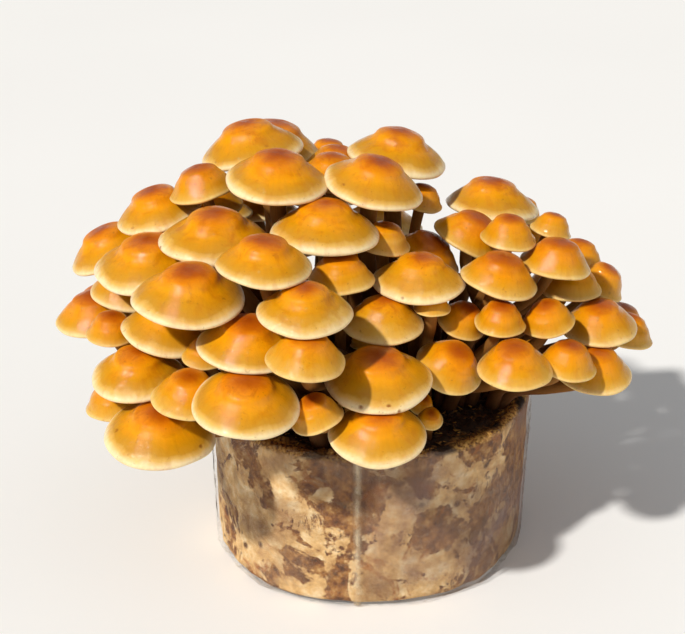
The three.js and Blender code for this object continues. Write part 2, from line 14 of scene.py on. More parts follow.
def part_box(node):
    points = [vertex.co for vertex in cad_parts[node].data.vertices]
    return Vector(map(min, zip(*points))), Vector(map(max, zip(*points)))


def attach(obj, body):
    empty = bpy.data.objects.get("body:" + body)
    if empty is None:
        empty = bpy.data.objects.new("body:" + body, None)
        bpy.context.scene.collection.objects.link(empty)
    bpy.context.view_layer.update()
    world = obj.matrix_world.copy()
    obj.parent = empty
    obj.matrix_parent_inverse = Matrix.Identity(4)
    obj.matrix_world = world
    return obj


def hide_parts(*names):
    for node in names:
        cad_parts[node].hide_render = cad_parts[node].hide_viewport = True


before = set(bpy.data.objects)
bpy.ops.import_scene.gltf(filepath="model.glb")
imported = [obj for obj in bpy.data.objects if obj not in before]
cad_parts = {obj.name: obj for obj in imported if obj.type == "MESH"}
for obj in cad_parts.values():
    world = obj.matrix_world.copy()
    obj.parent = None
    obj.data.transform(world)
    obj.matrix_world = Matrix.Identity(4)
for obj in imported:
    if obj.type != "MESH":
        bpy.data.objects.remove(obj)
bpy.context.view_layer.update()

# Lengths are in metres.
MM = 0.001

block_low, block_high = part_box("substrate_block")
block_top = block_high[2]
bag_low, bag_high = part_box("film_bag")

# Fineness of the rebuilt surfaces.
CAP_SEGMENTS = 128
CAP_OUTLINE_ROWS = 42
UNDERSIDE_ROWS = 10
STEM_SEGMENTS = 20
STEM_ROWS = 20
BLOCK_SEGMENTS = 360
BLOCK_SIDE_ROWS = 60
BLOCK_TOP_ROWS = 70

# Cap shape, as shares of the cap radius: reach from the axis and height over the rim.
OUTER_BRIM_REACH = 0.85
OUTER_BRIM_RISE = 0.035
RIM_SHOULDER = (0.935, 0.078)
RIM_ROLL = [(0.972, 0.038), (0.993, 0.018), (1.0, -0.006), (0.992, -0.034), (0.968, -0.054)]
GILL_START = (0.93, -0.052)
GILL_ARCH = (0.55, 0.02)
GILL_DEPTH = 0.04
THROAT_AIR = 0.05
THROAT_LIFT = 0.02
OVAL = 0.02
LOBES = 0.012
RIM_WAVE = 0.022
HUMP_SHIFT = 0.07
DENTS = 0.011

# How fast the shallow dents in a cap come and go outwards, and how far they wander round it.
DENTS_OUTWARD = 7
DENTS_ROUND = 3

# The hump is broader than the CAD's by this much.
HUMP_BREADTH = 1.36

# The hump's shoulder is this share of the way out to the hump and of the way down to it.
SHOULDER_OUT = 0.55
SHOULDER_DOWN = 0.24

# Points between hump and brim: share of the way out, share of the way down, and how much
# further down a cap shaped like a hat has come there.
SLOPE = [(0.33, 0.3, 0.24), (0.66, 0.64, 0.22)]
OUTER_BRIM_SHARE = 0.40
OUTER_BRIM_HAT = 0.02

# A flat cap is shaped more like a hat. These are how much at no height, how much its height
# takes away, how much it varies at random and the most that a cap can have.
HAT_FLAT = 1.9
HAT_LOSS = 2.1
HAT_SPREAD = (-0.2, 0.25)
HAT_MOST = 1.2

# The gills rise to their full depth over the first rows and are shallow in the last ones.
GILL_RISE_ROWS = 2
GILL_LAST_ROWS = 2
GILL_LAST_DEPTH = 0.4

# Stems go a little way into the cap and into the crumbly top of the block.
STEM_INTO_CAP = 0.07
STEM_INTO_BLOCK = 2.0 * MM
STEM_WOBBLE = 0.07
FOOT_SWELL = 0.22
NECK_SWELL = 0.18
NECK_FADE = 18

# The stem value is the share of the way down the stem, and 0 on caps. It starts a little over
# 0 at the top of the stem, so that the material can tell the two apart.
STEM_MARK = 0.02


# Corners within about this distance are one corner.
WELD_STEP = 1e-6


def welded(node):
    """The corner points and triangles of a CAD node, with split corners joined."""
    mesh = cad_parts[node].data
    points = np.empty(len(mesh.vertices) * 3)
    mesh.vertices.foreach_get("co", points)
    points = points.reshape(-1, 3)
    keys = np.round(points / WELD_STEP).astype(np.int64)
    _, first, inverse = np.unique(keys, axis=0, return_index=True, return_inverse=True)
    mesh.calc_loop_triangles()
    triangles = np.empty(len(mesh.loop_triangles) * 3, dtype=np.int64)
    mesh.loop_triangles.foreach_get("vertices", triangles)
    return points[first], inverse.reshape(-1)[triangles].reshape(-1, 3)


def neighbours_of(count, triangles):
    """The set of corners joined to each corner by an edge."""
    near = [set() for _ in range(count)]
    for a, b, c in triangles:
        near[a].update((b, c))
        near[b].update((a, c))
        near[c].update((a, b))
    return near


# A CAD mushroom is rings of corners round its axis. From the top of the cap down they are
# the hump, the brim, the rim, the lip, the top of the stem and the rings of the stem.
CAD_SIDES = 10
CAD_RINGS = 9
HUMP, BRIM, RIM, LIP, THROAT = range(5)

# A stem is slimmer than this share of its cap; corners where solids were joined are not.
SLIM = 0.35

# The top corner of a cap stands at least this far over the corners round it.
APEX_RISE = 0.3 * MM

# Points on a smooth curve between two of its knots.
FINE_STEPS = 24


def mushrooms_in(node):
    """Each mushroom of a clump, as the ring centres and radii of its CAD solid."""
    points, triangles = welded(node)
    near = neighbours_of(len(points), triangles)
    found = []
    for start in range(len(points)):
        around = list(near[start])
        is_top = points[start][2] - points[around][:, 2].mean() > APEX_RISE
        if len(around) != CAD_SIDES or not is_top:
            continue
        seen = {start}
        ring = [start]
        rings = []
        for _ in range(CAD_RINGS):
            ring = list(set().union(*[near[corner] for corner in ring]) - seen)
            seen.update(ring)
            rings.append(points[ring])
        centres = np.array([ring.mean(axis=0) for ring in rings])
        radii = [np.linalg.norm(ring - ring.mean(axis=0), axis=1).mean() for ring in rings]
        if radii[THROAT] < SLIM * radii[RIM]:
            found.append({"apex": points[start], "centres": centres, "radii": radii})
    return found


def smooth_line(knots, count):
    """Evenly spread points on a smooth curve through the knots."""
    knots = np.asarray(knots, dtype=float)
    padded = np.vstack([2 * knots[0] - knots[1], knots, 2 * knots[-1] - knots[-2]])
    dense = []
    for i in range(1, len(padded) - 2):
        a, b, c, d = padded[i - 1 : i + 3]
        t = np.linspace(0, 1, FINE_STEPS, endpoint=False)[:, None]
        dense.append(
            0.5 * (2 * b + (c - a) * t + (2 * a - 5 * b + 4 * c - d) * t**2)
            + 0.5 * (3 * b - a - 3 * c + d) * t**3
        )
    dense = np.vstack(dense + [knots[-1:]])
    steps = np.linalg.norm(np.diff(dense, axis=0), axis=1)
    along = np.concatenate([[0], np.cumsum(steps)])
    wanted = np.linspace(0, along[-1], count)
    return np.stack([np.interp(wanted, along, column) for column in dense.T], axis=1)


def frame_of(axis):
    """Two directions square to an axis."""
    side = np.cross([0.0, 1.0, 0.0], axis)
    side /= np.linalg.norm(side)
    return side, np.cross(axis, side)


def closed_faces(rows, columns):
    """The faces of a closed tube: its rings of points come first, and then its two end points."""
    faces = []
    for row in range(rows - 1):
        for column in range(columns):
            a = row * columns + column
            b = row * columns + (column + 1) % columns
            faces.append((a, b, b + columns, a + columns))
    first_end = rows * columns
    last_ring = first_end - columns
    for column in range(columns):
        following = (column + 1) % columns
        faces.append((first_end, following, column))
        faces.append((first_end + 1, last_ring + column, last_ring + following))
    return faces


def per_point(ring_values, columns, ends):
    """One value per point of a closed tube, from a value per ring and one per end point."""
    return np.concatenate([np.repeat(ring_values, columns), ends])


def per_angle(angle, rows):
    """The angle round the axis of every point of a closed tube."""
    return np.concatenate([np.tile(angle, rows), [0, 0]])


class Surface:
    """Points, faces and per-point values gathered for one mesh."""

    def __init__(self, values):
        self.points = []
        self.faces = []
        self.values = {name: [] for name in values}
        self.count = 0

    def add(self, points, faces, **values):
        """Add points, their faces and their values. A value that isn't given is 0."""
        points = np.asarray(points, dtype=float).reshape(-1, 3)
        self.points.append(points)
        self.faces.extend([tuple(self.count + corner for corner in face) for face in faces])
        for name, gathered in self.values.items():
            gathered.append(np.broadcast_to(np.asarray(values.get(name, 0.0)), (len(points),)))
        self.count += len(points)

    def build(self, name, material):
        """Make the mesh and its object."""
        mesh = bpy.data.meshes.new(name)
        mesh.from_pydata(np.vstack(self.points).tolist(), [], self.faces)
        mesh.update()
        for value, gathered in self.values.items():
            layer = mesh.attributes.new(value, "FLOAT", "POINT")
            layer.data.foreach_set("value", np.concatenate(gathered).astype(np.float32))
        mesh.polygons.foreach_set("use_smooth", [True] * len(mesh.polygons))
        mesh.materials.append(material)
        piece = bpy.data.objects.new(name, mesh)
        bpy.context.scene.collection.objects.link(piece)
        return piece


def cap_profile(hump, brim, apex, hat):
    """The cap's outline from its top to where the gills start, as shares of its radius."""
    across = brim[0] - hump[0]
    drop = hump[1] - brim[1]
    shoulder = (SHOULDER_OUT * hump[0], apex - SHOULDER_DOWN * (apex - hump[1]))
    knots = [(0.0, apex), shoulder, hump]
    for share, fall, hat_fall in SLOPE:
        knots.append((hump[0] + share * across, hump[1] - (fall + hat_fall * hat) * drop))
    outer_height = OUTER_BRIM_SHARE * brim[1] + OUTER_BRIM_RISE + OUTER_BRIM_HAT * hat
    knots += [brim, (OUTER_BRIM_REACH, outer_height), RIM_SHOULDER]
    return smooth_line(knots + RIM_ROLL + [GILL_START], CAP_OUTLINE_ROWS)


def add_cap(surface, spec, rng, ripe, tint, segments=CAP_SEGMENTS):
    """One cap: hump, brim, rolled rim and gills, closed all round."""
    centres, radii, apex = spec["centres"], spec["radii"], spec["apex"]
    radius = radii[RIM]
    axis = apex - centres[RIM]
    apex_height = np.linalg.norm(axis)
    axis /= apex_height
    side, front = frame_of(axis)

    def height(ring):
        return float((centres[ring] - centres[RIM]) @ axis) / radius

    hump = (HUMP_BREADTH * radii[HUMP] / radius, height(HUMP))
    brim = (radii[BRIM] / radius, height(BRIM))
    throat = (radii[THROAT] / radius, height(THROAT))
    hat = HAT_FLAT - HAT_LOSS * apex_height / radius + rng.uniform(*HAT_SPREAD)
    skin = cap_profile(hump, brim, apex_height / radius, np.clip(hat, 0, HAT_MOST))[1:]
    gill_end = (throat[0] + THROAT_AIR, throat[1])
    gills = smooth_line([GILL_START, GILL_ARCH, gill_end], UNDERSIDE_ROWS)[1:]

    angle = np.linspace(0, 2 * np.pi, segments, endpoint=False)
    turn = rng.uniform(0, 2 * np.pi, 6)
    stretch = 1 + OVAL * rng.uniform(0.3, 1) * np.cos(2 * angle + turn[0])
    stretch += LOBES * np.cos(3 * angle + turn[1]) + 0.5 * LOBES * np.cos(5 * angle + turn[2])
    wave = RIM_WAVE * (np.cos(2 * angle + turn[3]) + 0.6 * np.cos(3 * angle + turn[4]))
    shift = HUMP_SHIFT * rng.uniform(0, 1)
    dents = DENTS_ROUND * np.cos(2 * angle + turn[5])

    def place(share, level, extra=0.0):
        """The ring of points at one reach and height of the outline."""
        lift = level + wave * share**3 + extra
        lift = lift + DENTS * np.sin(DENTS_OUTWARD * share + dents) * share
        away = share * stretch
        moved = shift * (1 - share) * min(1.0, share * 4)
        x = away * np.cos(angle) + moved * math.cos(turn[5])
        y = away * np.sin(angle) + moved * math.sin(turn[5])
        offsets = np.outer(x, side) + np.outer(y, front) + np.outer(lift, axis)
        return centres[RIM] + radius * offsets

    rows = [place(share, level) for share, level in skin]
    widest = np.argmax(skin[:, 0])
    under = [0.0 if row <= widest + 1 else 0.5 for row in range(len(skin))]
    grooves = np.where(np.arange(segments) % 2 == 0, 1.0, 0.0)
    for row, (share, level) in enumerate(gills):
        depth = GILL_DEPTH * min(1.0, (row + 1) / GILL_RISE_ROWS)
        if row >= len(gills) - GILL_LAST_ROWS:
            depth *= GILL_LAST_DEPTH
        rows.append(place(share, level, -depth * grooves))
        under.append(1.0)
    radial = np.concatenate([skin[:, 0], gills[:, 0]])
    throat_point = centres[RIM] + radius * (throat[1] + THROAT_LIFT) * axis
    angles = per_angle(angle, len(rows))
    surface.add(
        np.vstack(rows + [apex[None], throat_point[None]]),
        [face[::-1] for face in closed_faces(len(rows), segments)],
        radial=per_point(radial, segments, [0.0, throat[0]]),
        under=per_point(under, segments, [0.0, 1.0]),
        ring_x=np.cos(angles),
        ring_y=np.sin(angles),
        ripe=ripe,
        tint=tint,
    )


def add_stem(surface, spec, rng, ripe, tint):
    """One stem: a closed, gently uneven tube down the CAD stem's middle."""
    centres, radii, apex = spec["centres"], spec["radii"], spec["apex"]
    axis = (apex - centres[RIM]) / np.linalg.norm(apex - centres[RIM])
    top = centres[THROAT] + STEM_INTO_CAP * radii[RIM] * axis
    foot = centres[-1].copy()
    foot[2] = block_top - STEM_INTO_BLOCK
    line = smooth_line(np.vstack([top, centres[THROAT:-1], foot]), STEM_ROWS)
    tangents = np.gradient(line, axis=0)
    tangents /= np.linalg.norm(tangents, axis=1)[:, None]
    angle = np.linspace(0, 2 * np.pi, STEM_SEGMENTS, endpoint=False)
    turn = rng.uniform(0, 2 * np.pi, 3)
    rows = []
    for i, share in enumerate(np.linspace(0, 1, STEM_ROWS)):
        side, front = frame_of(tangents[i])
        swell = 1 + FOOT_SWELL * share**3 + NECK_SWELL * math.exp(-share * NECK_FADE)
        uneven = 1 + STEM_WOBBLE * np.cos(2 * angle + turn[0] + 3 * share)
        uneven += 0.4 * STEM_WOBBLE * math.sin(9 * share + turn[1])
        reach = radii[THROAT] * swell * uneven
        ring = np.outer(reach * np.cos(angle), side) + np.outer(reach * np.sin(angle), front)
        rows.append(line[i] + ring)
    angles = per_angle(angle, STEM_ROWS)
    shares = np.linspace(STEM_MARK, 1, STEM_ROWS)
    surface.add(
        np.vstack(rows + [line[:1], line[-1:]]),
        closed_faces(STEM_ROWS, STEM_SEGMENTS),
        ring_x=np.cos(angles),
        ring_y=np.sin(angles),
        stem=per_point(shares, STEM_SEGMENTS, [STEM_MARK, 1]),
        ripe=ripe,
        tint=tint,
    )


class Shader:
    """A short way to write a material's node tree."""

    def __init__(self, name):
        self.material = bpy.data.materials.new(name)
        self.material.use_nodes = True
        self.tree = self.material.node_tree
        self.shader = self.tree.nodes["Principled BSDF"]

    def link(self, value, socket):
        """Join another node's output to a socket, or set the socket to a plain value."""
        if hasattr(value, "links"):
            self.tree.links.new(value, socket)
        else:
            socket.default_value = value

    def node(self, kind, inputs=None, **settings):
        made = self.tree.nodes.new(kind)
        for name, value in settings.items():
            setattr(made, name, value)
        for name, value in (inputs or {}).items():
            self.link(value, made.inputs[name])
        return made

    def attribute(self, name):
        return self.node("ShaderNodeAttribute", attribute_name=name).outputs["Fac"]

    def position(self):
        return self.node("ShaderNodeTexCoord").outputs["Object"]

    def noise(self, scale, detail=3.0, roughness=0.5, vector=None, distortion=0.0):
        inputs = {
            "Scale": scale,
            "Detail": detail,
            "Roughness": roughness,
            "Distortion": distortion,
            "Vector": self.position() if vector is None else vector,
        }
        return self.node("ShaderNodeTexNoise", inputs).outputs["Fac"]

    def spots(self, scale, core, edge):
        """Round spots: 1 within the core distance of a random point and 0 beyond the edge."""
        inputs = {"Scale": scale, "Vector": self.position()}
        distance = self.node("ShaderNodeTexVoronoi", inputs).outputs["Distance"]
        return self.between(distance, core, edge, 1.0, 0.0)

    def maths(self, operation, first, second=0.0, clamp=False):
        made = self.node("ShaderNodeMath", operation=operation, use_clamp=clamp)
        self.link(first, made.inputs[0])
        self.link(second, made.inputs[1])
        return made.outputs[0]

    def times(self, first, second):
        return self.maths("MULTIPLY", first, second)

    def between(self, value, low, high, to_low=0.0, to_high=1.0):
        """The value mapped from low..high to to_low..to_high, and held at those ends."""
        inputs = {
            "Value": value,
            "From Min": low,
            "From Max": high,
            "To Min": to_low,
            "To Max": to_high,
        }
        return self.node("ShaderNodeMapRange", inputs).outputs["Result"]

    def ramp(self, value, stops):
        made = self.node("ShaderNodeValToRGB", {"Fac": value})
        elements = made.color_ramp.elements
        while len(elements) < len(stops):
            elements.new(0.5)
        for element, (place, colour) in zip(elements, stops):
            element.position = place
            element.color = (*colour, 1.0)
        return made.outputs["Color"]

    def mix(self, factor, first, second):
        made = self.node("ShaderNodeMix", data_type="RGBA")
        self.link(factor, made.inputs["Factor"])
        for value, socket in ((first, made.inputs["A"]), (second, made.inputs["B"])):
            self.link((*value, 1.0) if isinstance(value, tuple) else value, socket)
        return made.outputs["Result"]

    def vector(self, x, y, z):
        made = self.node("ShaderNodeCombineXYZ")
        for value, socket in zip((x, y, z), made.inputs):
            self.link(value, socket)
        return made.outputs[0]

    def bump(self, height, strength, distance, normal=None):
        inputs = {"Height": height, "Strength": strength, "Distance": distance}
        if normal is not None:
            inputs["Normal"] = normal
        return self.node("ShaderNodeBump", inputs).outputs["Normal"]

    def finish(self, **sockets):
        """Set or link the shader's own sockets, named with _ in the place of spaces."""
        for name, value in sockets.items():
            self.link(value, self.shader.inputs[name.replace("_", " ")])
        return self.material


# Colours are linear RGB. Those of the caps and gills go from the middle of the cap to its rim,
# and those of the stems from the cap to the foot.
RIPE_COLOURS = [
    (0.0, (0.36, 0.06, 0.001)),
    (0.16, (0.52, 0.11, 0.001)),
    (0.33, (0.8, 0.25, 0.001)),
    (0.5, (0.84, 0.34, 0.001)),
    (0.68, (0.64, 0.28, 0.004)),
    (0.83, (0.58, 0.28, 0.02)),
    (0.91, (0.8, 0.5, 0.13)),
    (0.98, (0.97, 0.79, 0.48)),
]
YOUNG_COLOURS = [
    (0.0, (0.36, 0.06, 0.001)),
    (0.26, (0.52, 0.12, 0.001)),
    (0.52, (0.8, 0.28, 0.001)),
    (0.76, (0.7, 0.3, 0.004)),
    (0.92, (0.7, 0.39, 0.06)),
    (1.0, (0.86, 0.6, 0.22)),
]
GILL_COLOURS = [(0.15, (0.2, 0.09, 0.02)), (0.7, (0.36, 0.19, 0.05)), (0.93, (0.6, 0.4, 0.16))]
# The stems are painted shade: brown, going near black towards the foot, so the gaps between the
# mushrooms look dark.
STEM_SHADED_COLOURS = [
    (0.0, (0.4, 0.2, 0.05)),
    (0.3, (0.27, 0.11, 0.02)),
    (0.7, (0.12, 0.042, 0.009)),
    (1.0, (0.06, 0.024, 0.01)),
]
STREAK_BROWN = (0.34, 0.1, 0.006)
PATCH_RUSSET = (0.47, 0.1, 0.002)
FLECK_BROWN = (0.24, 0.06, 0.003)
SPECK_BROWN = (0.27, 0.07, 0.004)
GILL_SHADOW = (0.16, 0.065, 0.015)
FIBRE_BROWN = (0.15, 0.055, 0.012)

# How far the cap's rings of colour wander, and how far a pale or a dark cap shifts them.
COLOUR_DRIFT = 0.13
TINT_SHIFT = (-0.12, 0.08)


def cap_skin(s, radial, ring):
    """The skin of a cap: rings of colour with streaks, patches, flecks and small dark specks."""
    drift = s.between(s.noise(75, 4, 0.6), 0.25, 0.75, -COLOUR_DRIFT, COLOUR_DRIFT)
    drift = s.times(drift, s.between(radial, 0.75, 1.0, 1.0, 0.2))
    place = s.maths("ADD", radial, drift)
    shift = s.between(s.attribute("tint"), 0, 1, *TINT_SHIFT)
    shift = s.times(shift, s.between(radial, 0.7, 1.0, 1.0, 0.0))
    place = s.maths("ADD", place, shift)
    skin = s.mix(s.attribute("ripe"), s.ramp(place, YOUNG_COLOURS), s.ramp(place, RIPE_COLOURS))

    streaks = s.between(s.noise(9, 5, 0.6, vector=ring), 0.42, 0.72)
    skin = s.mix(s.times(streaks, 0.12), skin, STREAK_BROWN)
    inner = s.between(radial, 0.35, 0.8, 1.0, 0.35)
    patches = s.between(s.noise(170, 5, 0.65, distortion=0.8), 0.5, 0.68)
    skin = s.mix(s.times(patches, s.times(inner, 0.6)), skin, PATCH_RUSSET)
    flecks = s.between(s.noise(800, 2, 0.5), 0.68, 0.74)
    skin = s.mix(s.times(flecks, 0.3), skin, FLECK_BROWN)
    specks = s.times(s.spots(125, 0.05, 0.14), s.between(s.noise(300, 2), 0.5, 0.6))
    near_rim = s.between(radial, 0.55, 0.9, 0.35, 0.9)
    return s.mix(s.times(specks, near_rim), skin, SPECK_BROWN)


def gill_colour(s, radial, ring):
    """Tan gills, paler towards the rim."""
    shadow = s.between(s.noise(24, 2, 0.5, vector=ring), 0.3, 0.7, 0.0, 0.4)
    return s.mix(shadow, s.ramp(radial, GILL_COLOURS), GILL_SHADOW)


def shaded_stem_colour(s, along, ring_x, ring_y):
    """A stem with fibres along it, brown and darker towards its foot: painted shade for the gaps
    between the mushrooms.
    """
    fibres = s.vector(ring_x, ring_y, s.times(along, 0.6))
    grain = s.between(s.noise(12, 4, 0.6, vector=fibres), 0.35, 0.7)
    return s.mix(s.times(grain, 0.45), s.ramp(along, STEM_SHADED_COLOURS), FIBRE_BROWN)


def mushroom_material():
    """Slimy cap skin, cream rolled rim, tan gills and a fibrous stem darkened with painted shade."""
    s = Shader("nameko_flesh")
    radial = s.attribute("radial")
    under = s.attribute("under")
    along = s.attribute("stem")
    ring_x = s.attribute("ring_x")
    ring_y = s.attribute("ring_y")
    ring = s.vector(ring_x, ring_y, s.times(radial, 0.25))
    flesh = s.mix(under, cap_skin(s, radial, ring), gill_colour(s, radial, ring))
    is_stem = s.between(along, 0.25 * STEM_MARK, 0.75 * STEM_MARK)
    colour = s.mix(is_stem, flesh, shaded_stem_colour(s, along, ring_x, ring_y))

    not_skin = s.maths("MAXIMUM", under, is_stem)
    top_skin = s.maths("SUBTRACT", 1.0, not_skin)
    coat = s.times(top_skin, s.between(s.noise(160, 3), 0.4, 0.6, 0.1, 0.9))
    rough = s.between(s.noise(240, 3), 0.3, 0.7, 0.36, 0.52)
    rough = s.maths("ADD", rough, s.times(not_skin, 0.3))
    slime = s.bump(s.noise(650, 3, 0.6), 0.75, 0.6 * MM)
    skin_bump = s.bump(s.noise(9, 5, 0.6, vector=ring), 0.1, 0.6 * MM)
    skin_bump = s.bump(s.noise(260, 4, 0.6), 0.3, 0.6 * MM, skin_bump)
    return s.finish(
        Base_Color=colour,
        Roughness=rough,
        Specular_IOR_Level=0.12,
        Coat_Weight=coat,
        Coat_Roughness=0.06,
        Coat_IOR=1.4,
        Coat_Normal=slime,
        Normal=skin_bump,
        Subsurface_Weight=0.12,
        Subsurface_Radius=(1.0, 0.35, 0.08),
        Subsurface_Scale=3.0 * MM,
    )


# A cap's height over its rim, as a share of its radius, when it is young and when it is ripe.
YOUNG_HEIGHT = 0.74
RIPE_HEIGHT = 0.57


def ripeness(spec):
    """0 for a young domed cap, 1 for a ripe spread one."""
    height = np.linalg.norm(spec["apex"] - spec["centres"][RIM]) / spec["radii"][RIM]
    return float(np.clip((YOUNG_HEIGHT - height) / (YOUNG_HEIGHT - RIPE_HEIGHT), 0, 1))


MUSHROOM_VALUES = ("radial", "under", "ring_x", "ring_y", "stem", "ripe", "tint")


def grow_mushrooms(material):
    """Rebuild the mushrooms of every CAD node, and return what was read of each of them."""
    rng = np.random.default_rng(11)
    grown = []
    for node in sorted(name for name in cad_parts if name.startswith("nameko_")):
        surface = Surface(MUSHROOM_VALUES)
        for spec in mushrooms_in(node):
            ripe = ripeness(spec)
            tint = rng.uniform(0, 1)
            add_cap(surface, spec, rng, ripe, tint)
            add_stem(surface, spec, rng, ripe, tint)
            grown.append(spec)
        piece = surface.build(f"{node}_skin", material)
        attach(piece, "root")
        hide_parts(node)
    return grown


BUTTON_COUNT = 30
BUTTON_TRIES = 4000
BUTTON_RADII = (3.0 * MM, 6.0 * MM)
BUTTON_RISE = (9.0 * MM, 22.0 * MM)
BUTTON_SEGMENTS = 40
BUTTON_AIR = 0.6 * MM

# Buttons stand on this share of the block's top, and lean a little outwards and at random.
BUTTON_SPREAD = 0.8
BUTTON_LEAN = 0.2
BUTTON_LEAN_OUT = 0.25

# For the air round a button, its hump reaches this share of its cap's radius, and the stems
# of the others are taken as this much thicker than at the throat.
HUMP_REACH = 0.8
STEM_ALLOWANCE = 1.2
STEM_TEST_POINTS = 12

# A button's rings from the hump down to the top of the stem: reach and height over the
# rim, as shares of the cap radius. The stem's rings are shares of the way to the foot.
BUTTON_CAP = [(0.46, 0.82), (0.82, 0.45), (1.0, 0.0), (0.9, -0.14), (0.34, 0.1)]
BUTTON_APEX = 1.0
BUTTON_STEM = (0.25, 0.5, 0.75, 1.0)


def button_at(foot, tip, radius):
    """A young mushroom with its cap still closed, in the form that a CAD one is read in."""
    axis = (tip - foot) / np.linalg.norm(tip - foot)
    centres = [tip + height * radius * axis for _, height in BUTTON_CAP]
    centres += [tip + share * (foot - tip) for share in BUTTON_STEM]
    radii = [share * radius for share, _ in BUTTON_CAP]
    radii += [radii[THROAT]] * len(BUTTON_STEM)
    apex = tip + BUTTON_APEX * radius * axis
    return {"apex": apex, "centres": np.array(centres), "radii": radii}


def clear_of(spec, others):
    """Whether a button's cap and stem keep some air to every other mushroom."""
    radius = spec["radii"][RIM]
    own = np.vstack([spec["centres"][[HUMP, RIM]], spec["centres"][THROAT:]])
    stem_reaches = [spec["radii"][THROAT]] * (len(own) - 2)
    reaches = np.array([HUMP_REACH * radius, radius] + stem_reaches)
    for other in others:
        line = smooth_line(other["centres"][THROAT:], STEM_TEST_POINTS)
        from_stem = np.linalg.norm(own[:, None] - line[None], axis=2)
        thickness = STEM_ALLOWANCE * other["radii"][THROAT]
        if (from_stem < reaches[:, None] + thickness + BUTTON_AIR).any():
            return False
        from_cap = np.linalg.norm(own - other["centres"][RIM], axis=1)
        if (from_cap < reaches + other["radii"][RIM] + BUTTON_AIR).any():
            return False
    return True


def build_buttons(grown):
    """Young buttons coming up between the feet of the grown mushrooms."""
    surface = Surface(MUSHROOM_VALUES)
    buttons = np.random.default_rng(5)
    outline = outline_of("substrate_block")
    placed = []
    for _ in range(BUTTON_TRIES):
        if len(placed) == BUTTON_COUNT:
            break
        angle = buttons.uniform(-np.pi, np.pi)
        reach = outline(angle) * math.sqrt(buttons.uniform(0, BUTTON_SPREAD))
        radius = buttons.uniform(*BUTTON_RADII)
        foot = np.array([reach * math.cos(angle), reach * math.sin(angle), block_top])
        lean = buttons.normal(0, BUTTON_LEAN, 2) + BUTTON_LEAN_OUT * foot[:2] / outline(angle)
        rise = buttons.uniform(*BUTTON_RISE)
        spec = button_at(foot, foot + rise * np.array([lean[0], lean[1], 1.0]), radius)
        if clear_of(spec, grown + placed):
            placed.append(spec)
            tint = buttons.uniform(0, 1)
            add_cap(surface, spec, buttons, 0.0, tint, BUTTON_SEGMENTS)
            add_stem(surface, spec, buttons, 0.0, tint)
    return surface


# The outer wall of a node is what lies beyond the wall share of its widest reach. It is read
# at the corners nearest to half its height, give or take the slack, and smoothed over a few
# steps each way.
WALL_SHARE = 0.7
WAIST_SLACK = 1.0 * MM
OUTLINE_STEPS = 720
OUTLINE_SMOOTHING = 8


def outline_of(node):
    """The outer radius of a CAD node half way up, as a smooth function of the angle."""
    points, _ = welded(node)
    low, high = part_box(node)
    reach = np.hypot(points[:, 0], points[:, 1])
    outside = reach > WALL_SHARE * reach.max()
    away = np.abs(points[:, 2] - 0.5 * (low[2] + high[2]))
    waist = outside & (away < away[outside].min() + WAIST_SLACK)
    angles = np.arctan2(points[waist, 1], points[waist, 0])
    outer = {}
    for angle, radius in zip(np.round(angles, 3), reach[waist]):
        outer[angle] = max(outer.get(angle, 0), radius)
    corners = np.array(sorted(outer))
    radii = np.array([outer[corner] for corner in corners])
    fine = np.linspace(-np.pi, np.pi, OUTLINE_STEPS, endpoint=False)
    plain = np.interp(fine, corners, radii, period=2 * np.pi)
    turns = range(-OUTLINE_SMOOTHING, OUTLINE_SMOOTHING + 1)
    smooth = np.mean([np.roll(plain, step) for step in turns], axis=0)

    def radius_at(angle):
        return np.interp(angle, fine, smooth, period=2 * np.pi)

    return radius_at


def ripple(x, y, z, seed, count, wavelength):
    """A smooth random height field made of waves in random directions."""
    waves = np.random.default_rng(seed)
    total = np.zeros(np.broadcast(x, y, z).shape)
    for _ in range(count):
        direction = waves.normal(size=3)
        direction /= np.linalg.norm(direction)
        length = wavelength * waves.uniform(0.6, 1.6)
        phase = waves.uniform(0, 2 * np.pi)
        reach = x * direction[0] + y * direction[1] + z * direction[2]
        total += np.sin(2 * np.pi * reach / length + phase)
    return total / math.sqrt(count / 2)


EDGE_ROUND = 3.0 * MM

# Block and bag are wider at the top, and narrower at the base, than half way up by this share.
TAPER = 0.017

# Random waves on a wall are read on a plain cylinder of this radius.
WAVE_RADIUS = 60 * MM

# The block's sides are pitted, and stand back from the film.
SIDE_INSET = 0.35 * MM
PIT_DEPTH = 0.16 * MM
PITS = {"seed": 3, "count": 14, "wavelength": 9 * MM}

# The block's top is crumbs on lumps, a little below the CAD top and level at the edge.
TOP_SHARES = (0.955, 0.02)
TOP_DROP = 0.9 * MM
TOP_ROUGHNESS = 0.7 * MM
TOP_EDGE = 0.06
CRUMBS = {"seed": 5, "count": 16, "wavelength": 3.2 * MM}
LUMPS = {"seed": 6, "count": 12, "wavelength": 9 * MM}


def edge_inset(height):
    """How far a rounded edge stands back at a height over its end."""
    share = np.clip(1 - height / EDGE_ROUND, 0, 1)
    return EDGE_ROUND * (1 - np.sqrt(1 - share**2))


